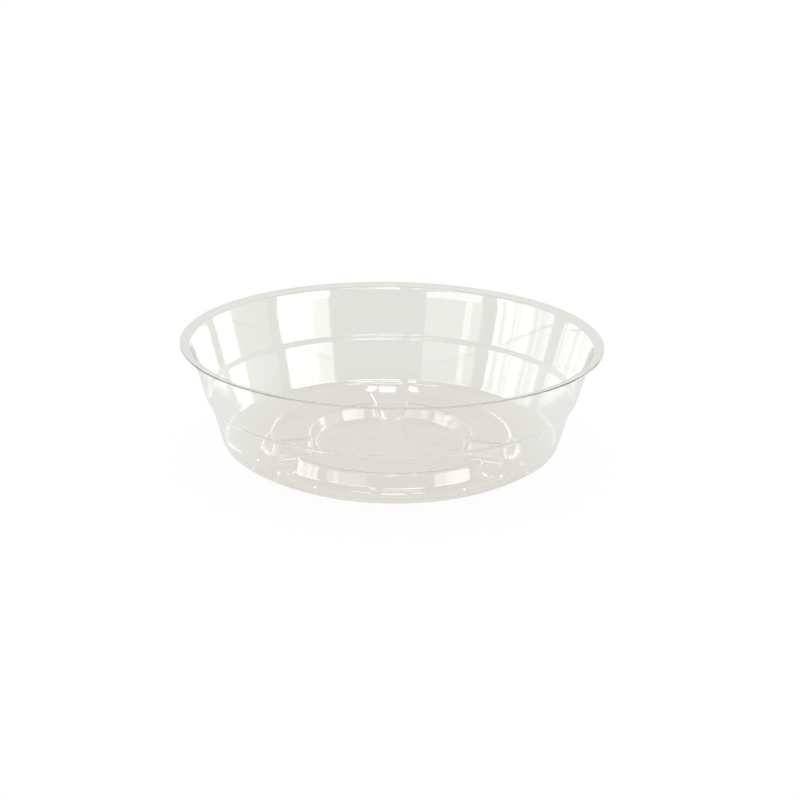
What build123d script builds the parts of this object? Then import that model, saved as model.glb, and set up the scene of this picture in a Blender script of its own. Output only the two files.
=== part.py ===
from build123d import *
import math
import os

# Clear plant saucer, thermoformed from one sheet. Millimetres, +Z up.
# The origin is the centre of the face that it stands on.

# Sheet
sheet_gauge = 0.5

# Rim: a narrow flange that rises a little towards its trimmed edge
rim_radius = 85.0
rim_height = 47.7
flange_width = 4.0
flange_rise = 1.0
flange_round = 0.6

# Wall: two flared bands with a step between them
upper_flare = 5.9
step_height = 26.2
step_width = 1.6
step_drop = 1.2
step_round = 1.5
lower_flare = 5.2

# Foot of the wall: a slanted corner down to the flat base
corner_width = 10.4
corner_height = 6.3
corner_round = 4.2
base_round = 6.0

# Raised arc ribs that carry the pot above the water, with a gutter round them
gutter_flat = 1.0
rib_count = 3
rib_width = 16.4
rib_height = 8.8
rib_gap_flat = 0.6
rib_draft = 15.0
rib_corner_round = 3.0
rib_top_round = 1.0
rib_foot_round = 5.0

# Vent pips that the mould leaves in the foot round along the outer side of each rib
pip_radius = 0.45
pip_slope = 25.0
pip_angles = (-33.0, 33.0)

# How far the rounds of the gutter reach along its floor, and how far a rib's side spreads above the floor
corner_slope = math.atan2(corner_height, corner_width)
base_reach = (base_round + sheet_gauge) * math.tan(corner_slope / 2)
foot_reach = (rib_foot_round + sheet_gauge) * math.tan(math.radians(90 - rib_draft) / 2)
foot_spread = math.tan(math.radians(rib_draft)) * (rib_height - sheet_gauge)

# Radii from the rim inwards
flange_radius = rim_radius - flange_width
step_radius = flange_radius - upper_flare
ledge_radius = step_radius - step_width
corner_radius = ledge_radius - lower_flare
base_radius = corner_radius - corner_width
rib_outer_radius = base_radius - base_reach - gutter_flat - foot_reach - foot_spread + sheet_gauge
rib_inner_radius = rib_outer_radius - rib_width

# The gap between two ribs, from the flat that is left between their foot rounds at its narrow end
half_gap = rib_gap_flat / 2 + foot_reach + foot_spread - sheet_gauge
rib_gap_angle = 2 * math.degrees(math.asin(half_gap / (rib_inner_radius + rib_corner_round)))

# The underside of the sheet, from the middle of the base out to the rim
underside = [
    (0.0, 0.0),
    (base_radius, 0.0),
    (corner_radius, corner_height),
    (ledge_radius, step_height - step_drop),
    (step_radius, step_height),
    (flange_radius, rim_height - flange_rise),
    (rim_radius, rim_height),
]
bend_rounds = [base_round, corner_round, step_round, step_round, flange_round]


def offset_line(points, distance):
    """The points of a polyline moved to its left by distance, with its corners kept sharp."""
    vectors = [Vector(*point) for point in points]
    runs = [(b - a).normalized() for a, b in zip(vectors, vectors[1:])]
    lefts = [Vector(-run.Y, run.X) for run in runs]
    moved = [vectors[0] + lefts[0] * distance]
    for corner, before, after in zip(vectors[1:-1], lefts, lefts[1:]):
        half = (before + after).normalized()
        moved.append(corner + half * (distance / half.dot(before)))
    moved.append(vectors[-1] + lefts[-1] * distance)
    return [(point.X, point.Y) for point in moved]


def plain_bowl():
    """The sheet as a plain bowl: its profile turned about Z, with every bend rounded."""
    topside = offset_line(underside, sheet_gauge)
    section = make_face(Polyline(*underside, *reversed(topside), close=True))
    for index, bend in enumerate(bend_rounds, start=1):
        before, corner, after = [Vector(*point) for point in underside[index - 1 : index + 2]]
        turns_up = (corner - before).cross(after - corner).Z > 0
        low_round = bend + sheet_gauge if turns_up else bend
        high_round = bend if turns_up else bend + sheet_gauge
        for point, radius in ((underside[index], low_round), (topside[index], high_round)):
            section = fillet(section.vertices().sort_by_distance((*point, 0))[0], radius)
    return revolve(Plane.XZ * section, Axis.Z)


def rib_block(inset, bottom, top):
    """One rib as a tapered arc block, drawn in from its outer faces by inset."""
    spread = math.tan(math.radians(rib_draft)) * (top - bottom)
    outer = rib_outer_radius - inset + spread
    inner = rib_inner_radius + inset - spread
    middle = (rib_outer_radius + rib_inner_radius) / 2
    half_arc = (360.0 / rib_count - rib_gap_angle) / 2
    half_foot = half_arc + math.degrees((spread - inset) / middle)
    with BuildSketch(Plane.XY.offset(bottom)) as foot:
        with BuildLine():
            outer_arc = CenterArc((0, 0), outer, -90 - half_foot, 2 * half_foot)
            inner_arc = CenterArc((0, 0), inner, -90 - half_foot, 2 * half_foot)
            Line(outer_arc @ 0, inner_arc @ 0)
            Line(outer_arc @ 1, inner_arc @ 1)
        make_face()
        fillet(foot.vertices(), rib_corner_round + spread - inset)
    block = extrude(foot.sketch, top - bottom, taper=rib_draft)
    crown = block.faces().sort_by(Axis.Z)[-1]
    return fillet(crown.edges(), rib_top_round + sheet_gauge - inset)


def foot_edges(shell, height):
    """The sharp edges round the feet of the ribs, on the face of the base at that height."""
    hair = sheet_gauge / 100
    gutter_edge = base_radius - base_reach - gutter_flat / 2
    at_height = shell.edges().filter_by_position(Axis.Z, height - hair, height + hair)
    return [edge for edge in at_height if math.hypot((edge @ 0.5).X, (edge @ 0.5).Y) < gutter_edge]


def saucer():
    """The bowl with its ribs pressed up out of the base, their feet rounded, and its vent pips."""
    rib_step = 360.0 / rib_count
    outside = rib_block(0.0, 0.0, rib_height)
    hollow = rib_block(sheet_gauge, 0.0, rib_height - sheet_gauge)
    shell = plain_bowl()
    for index in range(rib_count):
        turn = Rot(0, 0, index * rib_step)
        shell = shell + turn * outside - turn * hollow
    shell = fillet(foot_edges(shell, sheet_gauge), rib_foot_round)
    shell = fillet(foot_edges(shell, 0.0), rib_foot_round + sheet_gauge)
    tilt = math.radians(pip_slope)
    round_middle = rib_outer_radius + foot_spread + rib_foot_round * math.tan(math.radians(90 - rib_draft) / 2)
    pip_ring = round_middle - rib_foot_round * math.sin(tilt)
    pip_height = sheet_gauge + rib_foot_round * (1 - math.cos(tilt))
    for index in range(rib_count):
        for angle in pip_angles:
            place = Rot(0, 0, index * rib_step + angle - 90) * Pos(pip_ring, 0, pip_height)
            shell = shell + place * Sphere(pip_radius)
    return shell


os.makedirs("parts", exist_ok=True)
export_step(saucer(), "parts/saucer_shell.step")
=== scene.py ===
import math
import bmesh
import bpy
from mathutils import Matrix, Quaternion, Vector, noise


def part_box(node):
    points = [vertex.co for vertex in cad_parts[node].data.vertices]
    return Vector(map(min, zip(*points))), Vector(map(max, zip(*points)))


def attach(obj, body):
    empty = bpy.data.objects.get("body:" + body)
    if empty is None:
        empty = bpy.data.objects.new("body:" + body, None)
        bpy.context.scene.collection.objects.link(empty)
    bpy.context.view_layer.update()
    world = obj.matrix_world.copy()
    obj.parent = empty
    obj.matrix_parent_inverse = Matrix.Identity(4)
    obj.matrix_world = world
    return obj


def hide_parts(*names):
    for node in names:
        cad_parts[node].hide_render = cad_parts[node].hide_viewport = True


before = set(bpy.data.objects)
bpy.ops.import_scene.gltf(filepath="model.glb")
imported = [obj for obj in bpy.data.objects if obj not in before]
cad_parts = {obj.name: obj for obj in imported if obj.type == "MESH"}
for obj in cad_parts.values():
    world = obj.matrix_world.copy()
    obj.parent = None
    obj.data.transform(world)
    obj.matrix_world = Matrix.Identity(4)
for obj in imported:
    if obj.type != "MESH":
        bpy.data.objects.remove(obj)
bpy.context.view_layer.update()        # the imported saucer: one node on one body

mm = 0.001
lowCorner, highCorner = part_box("saucer_shell")
print("frame loaded:", sorted(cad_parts))

# Formed sheet: a flared wall with a step, a slanted corner and a narrow rim flange
sheet = {
    "gauge": 0.5 * mm,
    "flangeWidth": 4.0 * mm,
    "flangeRise": 1.0 * mm,
    "flangeRound": 0.6 * mm,
    "upperFlare": 5.9 * mm,
    "stepHeight": 26.2 * mm,
    "stepWidth": 1.6 * mm,
    "stepDrop": 1.2 * mm,
    "stepRound": 1.5 * mm,
    "lowerFlare": 5.2 * mm,
    "cornerWidth": 10.4 * mm,
    "cornerHeight": 6.3 * mm,
    "cornerRound": 4.2 * mm,
    "baseRound": 6.0 * mm,
    "slantBow": 0.3 * mm,        # the slanted corner bows out a little in its middle
    "slantRound": 55.0 * mm,
    "curlHeight": 3.4 * mm,      # the wall leans out a little more just under the flange
    "curlDepth": 0.2 * mm,
    "curlRound": 20.0 * mm,
    "baseLip": 0.3 * mm,         # flat strip between the base round and the base fill
    "rimLip": 0.3 * mm,          # narrow ring that keeps the flange's shading flat up to its edge
    "bendSegments": 10,
    "longBand": 8.0 * mm,        # straight bands longer than this get rings
    "bandCuts": 14,
    "turnSteps": 240,
    "edgeEase": 0.1 * mm,        # the trimmed edge of the flange is eased by this much
    "easeSegments": 2,
    "easeAngle": math.radians(60),
    "mergeDistance": 0.002 * mm,
    "levelSlack": 0.01 * mm,     # how far a point may lie from a level that is filled
}

# Raised arc ribs with round feet
rib = {
    "count": 3,
    "gutterFlat": 1.0 * mm,      # flat ring between the foot rounds and the base round
    "width": 16.4 * mm,
    "height": 8.8 * mm,
    "gapFlat": 0.6 * mm,         # flat left between two ribs, at the narrow end of their gap
    "draft": math.radians(15),
    "cornerRound": 3.0 * mm,
    "topRound": 1.0 * mm,
    "footRound": 5.0 * mm,
    "flatLip": 0.1 * mm,         # flat strip that keeps the shading of the flats even
    "arcSteps": 60,
    "cornerSteps": 12,
    "roundSegments": 10,
}

# Vent pips: in the foot round outside each rib, and a few on the floor of the gutter
pip = {
    "radius": 0.42 * mm,
    "slope": math.radians(25),
    "ribAngles": (math.radians(-33), math.radians(33)),
    "floorSpots": ((55.5 * mm, math.radians(-74)), (55.5 * mm, math.radians(74)),
                   (53.0 * mm, math.radians(-56)), (53.0 * mm, math.radians(56))),
    "segments": 12,
}

# Slight waves that a thin sheet keeps after forming
wave = {
    "depth": 0.05 * mm,
    "roundScale": 3.0,           # waves per radius of turn
    "heightScale": 40.0,         # waves per metre of height
}

# Radii from the rim inwards, on the underside of the sheet
rimRadius = (highCorner.x - lowCorner.x) / 2
flangeSlope = math.atan2(sheet["flangeRise"], sheet["flangeWidth"])
rimHeight = highCorner.z - sheet["gauge"] * math.cos(flangeSlope)
flangeRadius = rimRadius - sheet["flangeWidth"]
stepRadius = flangeRadius - sheet["upperFlare"]
ledgeRadius = stepRadius - sheet["stepWidth"]
cornerRadius = ledgeRadius - sheet["lowerFlare"]
baseRadius = cornerRadius - sheet["cornerWidth"]
cornerSlope = math.atan2(sheet["cornerHeight"], sheet["cornerWidth"])
upperRise = rimHeight - sheet["flangeRise"] - sheet["stepHeight"]
curlRadius = flangeRadius - sheet["upperFlare"] * sheet["curlHeight"] / upperRise - sheet["curlDepth"]
baseReach = (sheet["baseRound"] + sheet["gauge"]) * math.tan(cornerSlope / 2)
footBend = math.tan((math.pi / 2 - rib["draft"]) / 2)        # reach of a rib's bends for each unit of radius
footReach = (rib["footRound"] + sheet["gauge"]) * footBend
ribSpread = math.tan(rib["draft"]) * (rib["height"] - sheet["gauge"])
ribOuter = baseRadius - baseReach - rib["gutterFlat"] - footReach - ribSpread
ribInner = ribOuter - rib["width"] + 2 * sheet["gauge"]
halfGap = rib["gapFlat"] / 2 + footReach + ribSpread
ribCorner = rib["cornerRound"] - sheet["gauge"]
ribHalfArc = math.pi / rib["count"] - math.asin(halfGap / (ribInner + ribCorner))


def chain(bm, points):
    verts = [bm.verts.new(point) for point in points]
    for pair in zip(verts, verts[1:]):
        bm.edges.new(pair)
    return verts


def onlyVerts(geom):
    return [part for part in geom if isinstance(part, bmesh.types.BMVert)]


def onlyEdges(geom):
    return [part for part in geom if isinstance(part, bmesh.types.BMEdge)]


def wholeChain(vert):
    verts, edges = [vert], []
    for vert in verts:                   # the list grows as the walk goes on
        for edge in vert.link_edges:
            if edge not in edges:
                edges.append(edge)
                verts.append(edge.other_vert(vert))
    return verts, edges


def roundBend(bm, vert, radius, segments):
    before, after = [edge.other_vert(vert).co - vert.co for edge in vert.link_edges]
    turn = math.pi - before.angle(after)
    bmesh.ops.bevel(bm, geom=[vert], offset=radius * math.tan(turn / 2), offset_type="OFFSET",
                    segments=segments, profile=0.5, affect="VERTICES", material=-1)


def spinOn(bm, geom, centre, angle, steps):
    spun = bmesh.ops.spin(bm, geom=geom, cent=centre, axis=(0, 0, 1), angle=angle, steps=steps)
    return spun["geom_last"]


def slideOn(bm, geom, run):
    slid = bmesh.ops.extrude_edge_only(bm, edges=onlyEdges(geom))["geom"]
    verts = onlyVerts(slid)
    bmesh.ops.translate(bm, vec=run, verts=verts)
    return verts + [edge for edge in onlyEdges(slid) if all(vert in verts for vert in edge.verts)]


def polar(radius, angle):
    return Vector((radius * math.cos(angle), radius * math.sin(angle), 0))


def ribAngles():
    return [-math.pi / 2 + index * math.tau / rib["count"] for index in range(rib["count"])]


def finishMesh(bm, name):
    for face in bm.faces:
        face.smooth = True
    mesh = bpy.data.meshes.new(name)
    bm.to_mesh(mesh)
    bm.free()
    piece = bpy.data.objects.new(name, mesh)
    bpy.context.scene.collection.objects.link(piece)
    return piece


def spinWall(bm):
    lip, bow, gauge = sheet["rimLip"], sheet["slantBow"], sheet["gauge"]
    profile = [
        (baseRadius - baseReach - sheet["baseLip"], 0),
        (baseRadius, 0),
        ((baseRadius + cornerRadius) / 2 + bow * math.sin(cornerSlope),
         sheet["cornerHeight"] / 2 - bow * math.cos(cornerSlope)),
        (cornerRadius, sheet["cornerHeight"]),
        (ledgeRadius, sheet["stepHeight"] - sheet["stepDrop"]),
        (stepRadius, sheet["stepHeight"]),
        (curlRadius, rimHeight - sheet["flangeRise"] - sheet["curlHeight"]),
        (flangeRadius, rimHeight - sheet["flangeRise"]),
        (rimRadius - lip * math.cos(flangeSlope), rimHeight - lip * math.sin(flangeSlope)),
        (rimRadius, rimHeight),
    ]
    bends = [
        sheet["baseRound"] + gauge,
        sheet["slantRound"],
        sheet["cornerRound"] + gauge,
        sheet["stepRound"],
        sheet["stepRound"] + gauge,
        sheet["curlRound"],
        sheet["flangeRound"],
    ]
    verts = chain(bm, [(radius, 0, height) for radius, height in profile])
    for vert, bend in zip(verts[1:-2], bends):
        roundBend(bm, vert, bend, sheet["bendSegments"])
    bands = [edge for edge in wholeChain(verts[0])[1] if edge.calc_length() > sheet["longBand"]]
    rings = bmesh.ops.subdivide_edges(bm, edges=bands, cuts=sheet["bandCuts"])["geom_inner"]
    verts, edges = wholeChain(onlyVerts(rings)[0])
    bmesh.ops.spin(bm, geom=verts + edges, cent=(0, 0, 0), axis=(0, 0, 1), angle=math.tau,
                   steps=sheet["turnSteps"], use_merge=True)


def waveWall(bm):
    for vert in bm.verts:
        across = Vector((vert.co.x, vert.co.y, 0))
        reach = (across.length - baseRadius) / (flangeRadius - baseRadius)
        if 0 < reach < 1:
            place = across.normalized() * wave["roundScale"]
            place.z = vert.co.z * wave["heightScale"]
            fade = math.sin(math.pi * reach)
            vert.co += across.normalized() * (noise.noise(place) * fade * wave["depth"])


def pressRib(bm, middleAngle):
    top = rib["height"] - sheet["gauge"]
    outerTurn, innerTurn = ribOuter - ribCorner, ribInner + ribCorner        # where the corners turn about
    outerLean = math.asin(ribCorner / outerTurn)
    innerLean = math.asin(ribCorner / innerTurn)
    section = [
        (-rib["topRound"] * footBend - rib["flatLip"], top),
        (0, top),
        (ribSpread, 0),
        (ribSpread + footReach + rib["flatLip"], 0),
    ]
    verts = chain(bm, [(ribOuter + out, 0, height) for out, height in section])
    roundBend(bm, verts[1], rib["topRound"], rib["roundSegments"])
    roundBend(bm, verts[2], rib["footRound"] + sheet["gauge"], rib["roundSegments"])
    verts, edges = wholeChain(verts[0])
    start = middleAngle - ribHalfArc + outerLean
    bmesh.ops.rotate(bm, verts=verts, cent=(0, 0, 0), matrix=Matrix.Rotation(start, 3, "Z"))
    geom = verts + edges
    # right round the outline: outer arc, end, inner arc, end
    run = outerTurn * math.cos(outerLean) - innerTurn * math.cos(innerLean)
    farEnd = middleAngle + ribHalfArc
    nearEnd = middleAngle - ribHalfArc
    square = math.pi / 2
    geom = spinOn(bm, geom, (0, 0, 0), 2 * (ribHalfArc - outerLean), rib["arcSteps"])
    geom = spinOn(bm, geom, polar(outerTurn, farEnd - outerLean), square + outerLean, rib["cornerSteps"])
    geom = slideOn(bm, geom, polar(-run, farEnd))
    geom = spinOn(bm, geom, polar(innerTurn, farEnd - innerLean), square - innerLean, rib["cornerSteps"])
    geom = spinOn(bm, geom, (0, 0, 0), -2 * (ribHalfArc - innerLean), rib["arcSteps"])
    geom = spinOn(bm, geom, polar(innerTurn, nearEnd + innerLean), square - innerLean, rib["cornerSteps"])
    geom = slideOn(bm, geom, polar(run, nearEnd))
    spinOn(bm, geom, polar(outerTurn, nearEnd + outerLean), square + outerLean, rib["cornerSteps"])


def fillLevel(bm, height):
    loops = [edge for edge in bm.edges
             if edge.is_boundary and all(abs(vert.co.z - height) < sheet["levelSlack"] for vert in edge.verts)]
    bmesh.ops.triangle_fill(bm, edges=loops, normal=(0, 0, 1), use_beauty=True)


def makeSheet():
    bm = bmesh.new()
    for angle in ribAngles():
        pressRib(bm, angle)
    spinWall(bm)
    waveWall(bm)
    bmesh.ops.remove_doubles(bm, verts=bm.verts, dist=sheet["mergeDistance"])
    fillLevel(bm, 0)
    fillLevel(bm, rib["height"] - sheet["gauge"])
    bmesh.ops.recalc_face_normals(bm, faces=bm.faces)
    middleFace = min(bm.faces, key=lambda face: face.calc_center_median().length)
    if middleFace.normal.z < 0:
        bmesh.ops.reverse_faces(bm, faces=bm.faces)
    piece = finishMesh(bm, "saucerSheet")
    wall = piece.modifiers.new("gauge", "SOLIDIFY")
    wall.thickness = sheet["gauge"]
    wall.offset = 1
    wall.use_even_offset = True
    ease = piece.modifiers.new("trimmedEdge", "BEVEL")
    ease.width = sheet["edgeEase"]
    ease.segments = sheet["easeSegments"]
    ease.limit_method = "ANGLE"
    ease.angle_limit = sheet["easeAngle"]
    return piece


def makePips():
    bm = bmesh.new()
    floor = sheet["gauge"]
    middle = ribOuter + ribSpread + footReach        # where the foot round runs out on the floor
    out = middle - rib["footRound"] * math.sin(pip["slope"])
    up = floor + rib["footRound"] * (1 - math.cos(pip["slope"]))
    places = [polar(out, rest + turn) + Vector((0, 0, up))
              for rest in ribAngles() for turn in pip["ribAngles"]]
    for radius, turn in pip["floorSpots"]:
        lean = math.asin(max(0, middle - radius) / rib["footRound"])
        rise = rib["footRound"] * (1 - math.cos(lean))
        places.append(polar(radius, turn - math.pi / 2) + Vector((0, 0, floor + rise)))
    for place in places:
        bmesh.ops.create_uvsphere(bm, u_segments=pip["segments"], v_segments=pip["segments"] // 2,
                                  radius=pip["radius"], matrix=Matrix.Translation(place))
    return finishMesh(bm, "ventPips")


def colourMix(nodes, first=None, second=None):
    mix = nodes.new("ShaderNodeMix")
    mix.data_type = "RGBA"
    if first:
        mix.inputs["A"].default_value = first
    if second:
        mix.inputs["B"].default_value = second
    return mix


def makeUnevenFinish():
    group = bpy.data.node_groups.new("unevenFinish", "ShaderNodeTree")
    wanted = [("Vector", "NodeSocketVector"), ("Scale", "NodeSocketFloat"),
              ("Pale", "NodeSocketColor"), ("Deep", "NodeSocketColor"),
              ("Rough Low", "NodeSocketFloat"), ("Rough High", "NodeSocketFloat")]
    for name, kind in wanted:
        group.interface.new_socket(name, in_out="INPUT", socket_type=kind)
    group.interface.new_socket("Color", in_out="OUTPUT", socket_type="NodeSocketColor")
    group.interface.new_socket("Roughness", in_out="OUTPUT", socket_type="NodeSocketFloat")
    nodes, links = group.nodes, group.links
    given = nodes.new("NodeGroupInput")
    result = nodes.new("NodeGroupOutput")
    clouds = nodes.new("ShaderNodeTexNoise")
    tint = colourMix(nodes)
    rough = nodes.new("ShaderNodeMapRange")
    links.new(given.outputs["Vector"], clouds.inputs["Vector"])
    links.new(given.outputs["Scale"], clouds.inputs["Scale"])
    links.new(given.outputs["Pale"], tint.inputs["A"])
    links.new(given.outputs["Deep"], tint.inputs["B"])
    links.new(given.outputs["Rough Low"], rough.inputs["To Min"])
    links.new(given.outputs["Rough High"], rough.inputs["To Max"])
    links.new(clouds.outputs["Fac"], tint.inputs["Factor"])
    links.new(clouds.outputs["Fac"], rough.inputs["Value"])
    links.new(tint.outputs["Result"], result.inputs["Color"])
    links.new(rough.outputs["Result"], result.inputs["Roughness"])
    return group


# A new material whose tint and roughness change over the surface
def unevenMaterial(name, group, finish):
    material = bpy.data.materials.new(name)
    material.use_nodes = True
    nodes, links = material.node_tree.nodes, material.node_tree.links
    shader = nodes["Principled BSDF"]
    coords = nodes.new("ShaderNodeTexCoord")
    uneven = nodes.new("ShaderNodeGroup")
    uneven.node_tree = group
    uneven.inputs["Scale"].default_value = finish["cloudScale"]
    uneven.inputs["Pale"].default_value = finish["colourPale"]
    uneven.inputs["Deep"].default_value = finish["colourDeep"]
    uneven.inputs["Rough Low"].default_value = finish["roughLow"]
    uneven.inputs["Rough High"].default_value = finish["roughHigh"]
    links.new(coords.outputs["Object"], uneven.inputs["Vector"])
    links.new(uneven.outputs["Color"], shader.inputs["Base Color"])
    links.new(uneven.outputs["Roughness"], shader.inputs["Roughness"])
    return material, shader, coords


# Clear plastic
plastic = {
    "colourPale": (0.998, 0.999, 0.996, 1),
    "colourDeep": (0.985, 0.988, 0.980, 1),
    "cloudScale": 25.0,
    "roughLow": 0.02,
    "roughHigh": 0.08,
    "ior": 1.5,
    "clearness": 1.0,
    "streakScale": 130.0,        # flow lines per metre round the wall
    "streakStretch": 0.12,       # their scale up the wall, so that they run long that way
    "streakDepth": 0.012 * mm,
    "rippleScale": 90.0,         # slow ripples over the whole sheet
    "rippleDetail": 1.0,
    "rippleDepth": 0.015 * mm,
}


def makePlastic(group):
    material, shader, coords = unevenMaterial("clearPlastic", group, plastic)
    nodes, links = material.node_tree.nodes, material.node_tree.links
    stretch = nodes.new("ShaderNodeMapping")
    streaks = nodes.new("ShaderNodeTexNoise")
    ripples = nodes.new("ShaderNodeTexNoise")
    streakBump = nodes.new("ShaderNodeBump")
    rippleBump = nodes.new("ShaderNodeBump")
    shader.inputs["IOR"].default_value = plastic["ior"]
    shader.inputs["Transmission Weight"].default_value = plastic["clearness"]
    stretch.inputs["Scale"].default_value = (1, 1, plastic["streakStretch"])
    streaks.inputs["Scale"].default_value = plastic["streakScale"]
    streakBump.inputs["Distance"].default_value = plastic["streakDepth"]
    ripples.inputs["Scale"].default_value = plastic["rippleScale"]
    ripples.inputs["Detail"].default_value = plastic["rippleDetail"]
    rippleBump.inputs["Distance"].default_value = plastic["rippleDepth"]
    links.new(coords.outputs["Object"], stretch.inputs["Vector"])
    links.new(stretch.outputs["Vector"], streaks.inputs["Vector"])
    links.new(streaks.outputs["Fac"], streakBump.inputs["Height"])
    links.new(coords.outputs["Object"], ripples.inputs["Vector"])
    links.new(ripples.outputs["Fac"], rippleBump.inputs["Height"])
    links.new(rippleBump.outputs["Normal"], streakBump.inputs["Normal"])
    links.new(streakBump.outputs["Normal"], shader.inputs["Normal"])
    return material


# Pips painted whitish and made to glow, as a painted glint on clear bumps, with a fine grain
pipPaintedGlint = {
    "colourPale": (0.98, 0.98, 0.97, 1),
    "colourDeep": (0.9, 0.905, 0.895, 1),
    "cloudScale": 2500.0,
    "roughLow": 0.25,
    "roughHigh": 0.45,
    "glint": 0.8,                # a faint glow stands for the glint that each pip has in the photograph
}


def makePipPaintedGlint(group):
    material, shader, coords = unevenMaterial("pipPaintedGlint", group, pipPaintedGlint)
    # painted glint: the pips glow though they are no lamp
    shader.inputs["Emission Color"].default_value = pipPaintedGlint["colourPale"]
    shader.inputs["Emission Strength"].default_value = pipPaintedGlint["glint"]
    return material


saucerSheet = makeSheet()
ventPips = makePips()
unevenFinish = makeUnevenFinish()
saucerSheet.data.materials.append(makePlastic(unevenFinish))
ventPips.data.materials.append(makePipPaintedGlint(unevenFinish))
for piece in (saucerSheet, ventPips):
    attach(piece, "root")
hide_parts("saucer_shell")
print("sheet formed:", len(saucerSheet.data.polygons), "faces before its gauge")

# Stage: white to the camera, with paler and darker parts for what the plastic passes on and mirrors; the
# darker part under the saucer is a painted shadow, the paler part to its sides is painted light
stage = {
    "floorRadius": 135.0 * mm,
    "floorSegments": 180,
    "floorDrop": 0.05 * mm,
    "shadeRadius": 48.0 * mm,                    # the painted shadow on the floor starts to pale outwards from here
    "paleRadius": 125.0 * mm,
    "shadowShare": 0.06,
    "seenWhite": (1.0, 1.0, 1.0, 1),
    "seenThrough": (0.79, 0.80, 0.755, 1),       # what shows through the sheet
    "paintedShadowUnder": (0.765, 0.733, 0.688, 1),       # painted shadow: the same, darker and warmer under the saucer
    "paintedLightSides": (0.85, 0.86, 0.825, 1),          # painted light: the same, paler left and right of it
    # across X, where the painted light to the sides comes in
    "sideReach": (45.0 * mm, 85.0 * mm),
    "mirrorFront": (0.4, 0.4, 0.38, 1),
    "mirrorBack": (0.74, 0.74, 0.71, 1),
    "backReach": (-0.3, 0.5),                    # along Y, where the mirrored room turns from front to back
    "mirrorTop": (0.12, 0.12, 0.115, 1),
    "topReach": (0.36, 0.5),                     # up Z, where the front of that room goes dark
    "mirrorDeep": (0.68, 0.68, 0.65, 1),         # what light that runs on inside the sheet comes to
    "bounces": 128,                              # light runs a long way inside a clear sheet
}
halfCount = 0.5          # a ray's reflections are whole counts, so limits lie half a count away


def maths(nodes, operation, second=None):
    node = nodes.new("ShaderNodeMath")
    node.operation = operation
    if second is not None:
        node.inputs[1].default_value = second
    return node


def ramp(nodes, low, high):
    node = nodes.new("ShaderNodeMapRange")
    node.interpolation_type = "SMOOTHSTEP"
    node.inputs["From Min"].default_value = low
    node.inputs["From Max"].default_value = high
    return node


def makeFloor():
    bm = bmesh.new()
    bmesh.ops.create_circle(bm, cap_ends=True, segments=stage["floorSegments"], radius=stage["floorRadius"])
    floor = finishMesh(bm, "floor")
    floor.location.z = -stage["floorDrop"]
    material = bpy.data.materials.new("paleFloor")
    material.use_nodes = True
    nodes, links = material.node_tree.nodes, material.node_tree.links
    nodes.clear()
    output = nodes.new("ShaderNodeOutputMaterial")
    coords = nodes.new("ShaderNodeTexCoord")
    reach = nodes.new("ShaderNodeVectorMath")
    reach.operation = "LENGTH"
    pale = ramp(nodes, stage["shadeRadius"], stage["paleRadius"])
    shadow = ramp(nodes, stage["floorRadius"], stage["shadeRadius"])
    shadow.inputs["To Max"].default_value = stage["shadowShare"]
    # painted shadow under the saucer, paling outwards to the plain tone
    tone = colourMix(nodes, stage["paintedShadowUnder"], stage["seenThrough"])
    split = nodes.new("ShaderNodeSeparateXYZ")
    across = maths(nodes, "ABSOLUTE")
    aside = ramp(nodes, *stage["sideReach"])
    # painted light to the left and right of the saucer
    wholeTone = colourMix(nodes, None, stage["paintedLightSides"])
    white = nodes.new("ShaderNodeEmission")
    lit = nodes.new("ShaderNodeBsdfDiffuse")
    through = nodes.new("ShaderNodeEmission")
    seen = nodes.new("ShaderNodeMixShader")
    mix = nodes.new("ShaderNodeMixShader")
    path = nodes.new("ShaderNodeLightPath")
    white.inputs["Color"].default_value = stage["seenWhite"]
    lit.inputs["Color"].default_value = stage["seenWhite"]
    # through the plastic: a painted shadow, warmer and darker, under the saucer, paler outwards, and painted
    # light to its sides
    links.new(coords.outputs["Object"], reach.inputs[0])
    links.new(reach.outputs["Value"], pale.inputs["Value"])
    links.new(pale.outputs["Result"], tone.inputs["Factor"])
    links.new(coords.outputs["Object"], split.inputs["Vector"])
    links.new(split.outputs["X"], across.inputs[0])
    links.new(across.outputs["Value"], aside.inputs["Value"])
    links.new(aside.outputs["Result"], wholeTone.inputs["Factor"])
    links.new(tone.outputs["Result"], wholeTone.inputs["A"])
    links.new(wholeTone.outputs["Result"], through.inputs["Color"])
    # to the camera: white, with a share of the real shadow that fades outwards
    links.new(reach.outputs["Value"], shadow.inputs["Value"])
    links.new(shadow.outputs["Result"], seen.inputs["Fac"])
    links.new(white.outputs["Emission"], seen.inputs[1])
    links.new(lit.outputs["BSDF"], seen.inputs[2])
    links.new(path.outputs["Is Camera Ray"], mix.inputs["Fac"])
    links.new(through.outputs["Emission"], mix.inputs[1])
    links.new(seen.outputs["Shader"], mix.inputs[2])
    links.new(mix.outputs["Shader"], output.inputs["Surface"])
    floor.data.materials.append(material)


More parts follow.
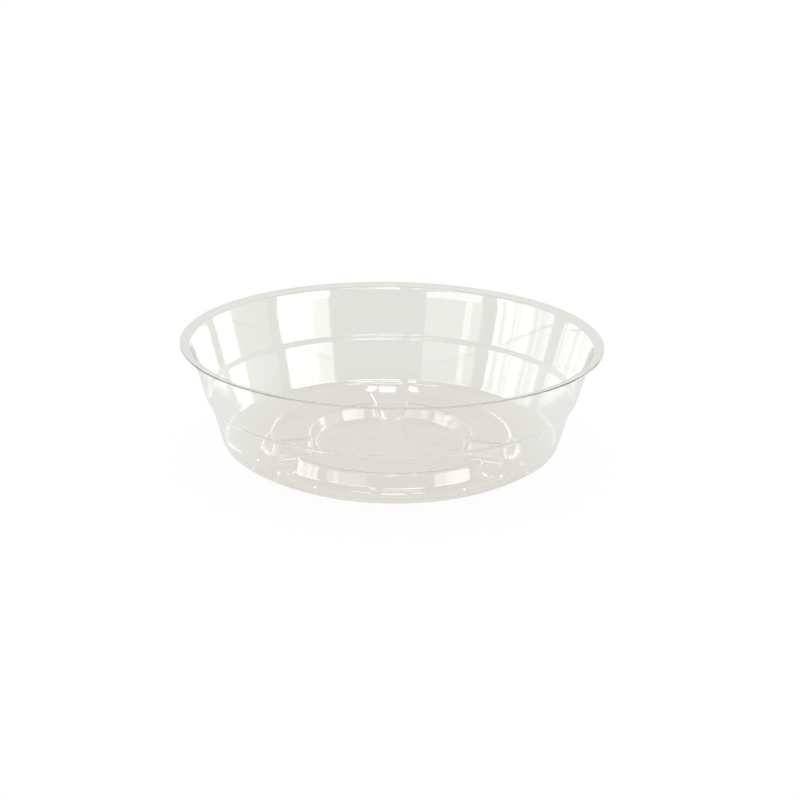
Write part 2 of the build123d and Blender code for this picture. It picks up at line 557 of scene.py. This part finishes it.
def makeRoom():
    world = bpy.data.worlds.new("room")
    world.use_nodes = True
    bpy.context.scene.world = world
    nodes, links = world.node_tree.nodes, world.node_tree.links
    nodes.clear()
    output = nodes.new("ShaderNodeOutputWorld")
    background = nodes.new("ShaderNodeBackground")
    path = nodes.new("ShaderNodeLightPath")
    coords = nodes.new("ShaderNodeTexCoord")
    split = nodes.new("ShaderNodeSeparateXYZ")
    depth = ramp(nodes, *stage["backReach"])
    height = ramp(nodes, *stage["topReach"])
    mirrored = maths(nodes, "GREATER_THAN", halfCount)
    deep = maths(nodes, "GREATER_THAN", 1 + halfCount)
    direct = maths(nodes, "LESS_THAN", halfCount)
    throughSheet = maths(nodes, "MULTIPLY")
    sides = colourMix(nodes, stage["mirrorFront"], stage["mirrorBack"])
    top = colourMix(nodes, None, stage["mirrorTop"])
    front = maths(nodes, "SUBTRACT")
    front.inputs[0].default_value = 1.0
    highFront = maths(nodes, "MULTIPLY")
    firstView = colourMix(nodes, stage["seenThrough"])
    plasticView = colourMix(nodes, None, stage["mirrorDeep"])
    seen = colourMix(nodes, stage["seenWhite"])
    # what is mirrored: from front to back, and darker high up in front
    links.new(coords.outputs["Generated"], split.inputs["Vector"])
    links.new(split.outputs["Y"], depth.inputs["Value"])
    links.new(split.outputs["Z"], height.inputs["Value"])
    links.new(depth.outputs["Result"], sides.inputs["Factor"])
    links.new(sides.outputs["Result"], top.inputs["A"])
    links.new(depth.outputs["Result"], front.inputs[1])
    links.new(front.outputs["Value"], highFront.inputs[0])
    links.new(height.outputs["Result"], highFront.inputs[1])
    links.new(highFront.outputs["Value"], top.inputs["Factor"])
    # straight through the sheet, mirrored once, or run on inside it
    links.new(path.outputs["Glossy Depth"], mirrored.inputs[0])
    links.new(path.outputs["Glossy Depth"], deep.inputs[0])
    links.new(mirrored.outputs["Value"], firstView.inputs["Factor"])
    links.new(top.outputs["Result"], firstView.inputs["B"])
    links.new(firstView.outputs["Result"], plasticView.inputs["A"])
    links.new(deep.outputs["Value"], plasticView.inputs["Factor"])
    # white for all that doesn't come by way of the plastic
    links.new(path.outputs["Diffuse Depth"], direct.inputs[0])
    links.new(path.outputs["Is Glossy Ray"], throughSheet.inputs[0])
    links.new(direct.outputs["Value"], throughSheet.inputs[1])
    links.new(throughSheet.outputs["Value"], seen.inputs["Factor"])
    links.new(plasticView.outputs["Result"], seen.inputs["B"])
    links.new(seen.outputs["Result"], background.inputs["Color"])
    links.new(background.outputs["Background"], output.inputs["Surface"])


# Lamps for the windows and screens that the sheet mirrors
lamps = {
    "distance": 2.5,
    "foldRange": (0.35, 0.6),    # the part of the noise that shades a curtain's folds
    "foldShade": 0.35,           # the glow that is left in a fold
}

# Their angles in degrees, with azimuths from the camera's side to the right
panels = [
    {"name": "rightWindow", "azimuths": (52, 75.5), "heights": (-13, 20), "glow": 3.9},
    {"name": "rightWindowEdge", "azimuths": (40.5, 52), "heights": (-13, 20), "glow": 2.5,
     "tint": (0.96, 1, 0.95)},
    {"name": "rightScreen", "azimuths": (83, 111), "heights": (-13, 20), "glow": 0.5},
    {"name": "rightStrip", "azimuths": (112, 129), "heights": (-14, 12), "glow": 4.0},
    {"name": "rightBack", "azimuths": (138, 172), "heights": (-14, 7), "glow": 1.9},
    {"name": "rightWindowHigh", "azimuths": (40.5, 75.5), "heights": (20, 27), "glow": 6.0},
    {"name": "leftScreen", "azimuths": (-58, -21), "heights": (-13, 18), "glow": 1.0},
    {"name": "leftScreenStrip", "azimuths": (-51, -46.5), "heights": (-13, 18), "glow": 1.8,
     "tint": (0.92, 1, 0.93)},
    {"name": "leftScreenEdge", "azimuths": (-58, -51), "heights": (-13, 18), "glow": 0.4,
     "tint": (0.85, 1, 0.9)},
    {"name": "leftScreenHigh", "azimuths": (-58, -21), "heights": (18, 26), "glow": 3.0, "lean": 3,
     "tint": (0.88, 1, 0.92)},
    {"name": "leftWindowHigh", "azimuths": (-94, -68), "heights": (20, 27), "glow": 5.0},
    {"name": "leftWindow", "azimuths": (-94, -68), "heights": (-13, 20), "glow": 4.0, "folds": 7},
    {"name": "leftCurtain", "azimuths": (-112, -94), "heights": (-13, 20), "glow": 2.2, "folds": 7},
    {"name": "leftBack", "azimuths": (-168, -122), "heights": (-15, 7), "glow": 1.8, "folds": 9},
    {"name": "lowPaneRight", "azimuths": (19, 33), "heights": (28, 35), "glow": 8.0},
    {"name": "lowPaneMiddle", "azimuths": (-5, 19), "heights": (28, 35), "glow": 8.0},
    {"name": "lowPaneLeft", "azimuths": (-19, -13), "heights": (28, 35), "glow": 8.0},
    {"name": "highPaneRight", "azimuths": (15, 33), "heights": (47, 54), "glow": 6.0},
    {"name": "highPaneMiddle", "azimuths": (-9, 10), "heights": (47, 54), "glow": 6.0},
    {"name": "highPaneLeft", "azimuths": (-23, -14), "heights": (47, 54), "glow": 6.0},
]

# Panes overhead: their slopes from the upright, across and backwards
ceiling = {
    "panes": (
        ((-0.40, -0.19), (-0.30, -0.18)),
        ((-0.09, 0.146), (-0.30, -0.18)),
        ((0.215, 0.37), (-0.30, -0.18)),
        ((-0.132, -0.092), (0.08, 0.18)),
        ((-0.020, 0.059), (0.08, 0.18)),
        ((0.082, 0.122), (0.08, 0.18)),
    ),
    "height": 2.0,
    "glow": 6.0,
}


def makeLamp(name, glow, place, turn, width, height, folds=0, tint=(1, 1, 1)):
    lamp = bpy.data.lights.new(name, "AREA")
    lamp.color = tint
    lamp.shape = "RECTANGLE"
    lamp.size = width
    lamp.size_y = height
    lamp.energy = glow * math.pi * width * height        # so that its face shines at the glow
    lamp.use_nodes = True
    nodes, links = lamp.node_tree.nodes, lamp.node_tree.links
    emission = nodes["Emission"]
    path = nodes.new("ShaderNodeLightPath")
    mirrored = maths(nodes, "COMPARE", 1)            # one reflection on the way
    mirrored.inputs[2].default_value = halfCount
    direct = maths(nodes, "LESS_THAN", halfCount)
    seen = maths(nodes, "MULTIPLY")
    links.new(path.outputs["Glossy Depth"], mirrored.inputs[0])
    links.new(path.outputs["Diffuse Depth"], direct.inputs[0])
    links.new(mirrored.outputs["Value"], seen.inputs[0])
    links.new(direct.outputs["Value"], seen.inputs[1])
    strength = seen
    if folds:
        across = nodes.new("ShaderNodeNewGeometry")
        split = nodes.new("ShaderNodeSeparateXYZ")
        stripes = nodes.new("ShaderNodeTexNoise")
        shade = nodes.new("ShaderNodeMapRange")
        strength = maths(nodes, "MULTIPLY")
        stripes.noise_dimensions = "1D"
        stripes.inputs["Scale"].default_value = folds
        shade.inputs["From Min"].default_value = lamps["foldRange"][0]
        shade.inputs["From Max"].default_value = lamps["foldRange"][1]
        shade.inputs["To Min"].default_value = lamps["foldShade"]
        links.new(across.outputs["Parametric"], split.inputs["Vector"])
        links.new(split.outputs["X"], stripes.inputs["W"])
        links.new(stripes.outputs["Fac"], shade.inputs["Value"])
        links.new(shade.outputs["Result"], strength.inputs[0])
        links.new(seen.outputs["Value"], strength.inputs[1])
    links.new(strength.outputs["Value"], emission.inputs["Strength"])
    holder = bpy.data.objects.new(name, lamp)
    holder.matrix_world = Matrix.Translation(place) @ turn.to_matrix().to_4x4()
    holder.visible_camera = False        # they show only where the sheet mirrors them
    holder.visible_diffuse = False
    bpy.context.scene.collection.objects.link(holder)


def makePanel(panel):
    distance = lamps["distance"]
    first, last = [math.radians(angle) for angle in panel["azimuths"]]
    low, high = [math.radians(angle) for angle in panel["heights"]]
    middle, rise = (first + last) / 2, (low + high) / 2
    level = math.cos(rise)
    outward = Vector((math.sin(middle) * level, -math.cos(middle) * level, math.sin(rise)))
    width = 2 * distance * math.tan((last - first) / 2) * level
    height = 2 * distance * math.tan((high - low) / 2)
    turn = outward.to_track_quat("Z", "Y") @ Quaternion((0, 0, 1), math.radians(panel.get("lean", 0)))
    makeLamp(panel["name"], panel["glow"], outward * distance, turn, width, height,
             panel.get("folds", 0), panel.get("tint", (1, 1, 1)))


def makeCeiling():
    for index, (across, backwards) in enumerate(ceiling["panes"]):
        left, right = [slope * ceiling["height"] for slope in across]
        near, far = [slope * ceiling["height"] for slope in backwards]
        place = Vector(((left + right) / 2, (near + far) / 2, ceiling["height"]))
        makeLamp("ceilingPane%d" % index, ceiling["glow"], place, Quaternion(), right - left, far - near)


# Camera: the photograph's viewpoint, focal length and framing
camera = {
    "pixels": 800,
    "focalPixels": 1711.7,
    "sensorWidth": 36.0,
    "distance": 697.4 * mm,
    "elevation": math.radians(19.15),
    "roll": math.radians(0.885),
    "aimHeight": 23.0 * mm,
    "axisPixel": (391.2, 396.8),
    "clipStart": 10.0 * mm,
}


def makeCamera():
    view = bpy.data.cameras.new("photoView")
    view.sensor_width = camera["sensorWidth"]
    view.lens = camera["focalPixels"] / camera["pixels"] * view.sensor_width
    view.shift_x = 0.5 - camera["axisPixel"][0] / camera["pixels"]
    view.shift_y = camera["axisPixel"][1] / camera["pixels"] - 0.5
    view.clip_start = camera["clipStart"]
    holder = bpy.data.objects.new("photoView", view)
    back = Vector((0, -math.cos(camera["elevation"]), math.sin(camera["elevation"])))
    turn = back.to_track_quat("Z", "Y").to_matrix().to_4x4() @ Matrix.Rotation(camera["roll"], 4, "Z")
    place = Vector((0, 0, camera["aimHeight"])) + back * camera["distance"]
    holder.matrix_world = Matrix.Translation(place) @ turn
    bpy.context.scene.collection.objects.link(holder)
    bpy.context.scene.camera = holder


makeFloor()
makeRoom()
for panel in panels:
    makePanel(panel)
makeCeiling()
makeCamera()
scene = bpy.context.scene
scene.view_settings.view_transform = "Standard"
scene.cycles.max_bounces = stage["bounces"]
scene.cycles.transmission_bounces = stage["bounces"]
scene.cycles.glossy_bounces = stage["bounces"]
print("stage, lights and camera set")

bpy.context.view_layer.update()
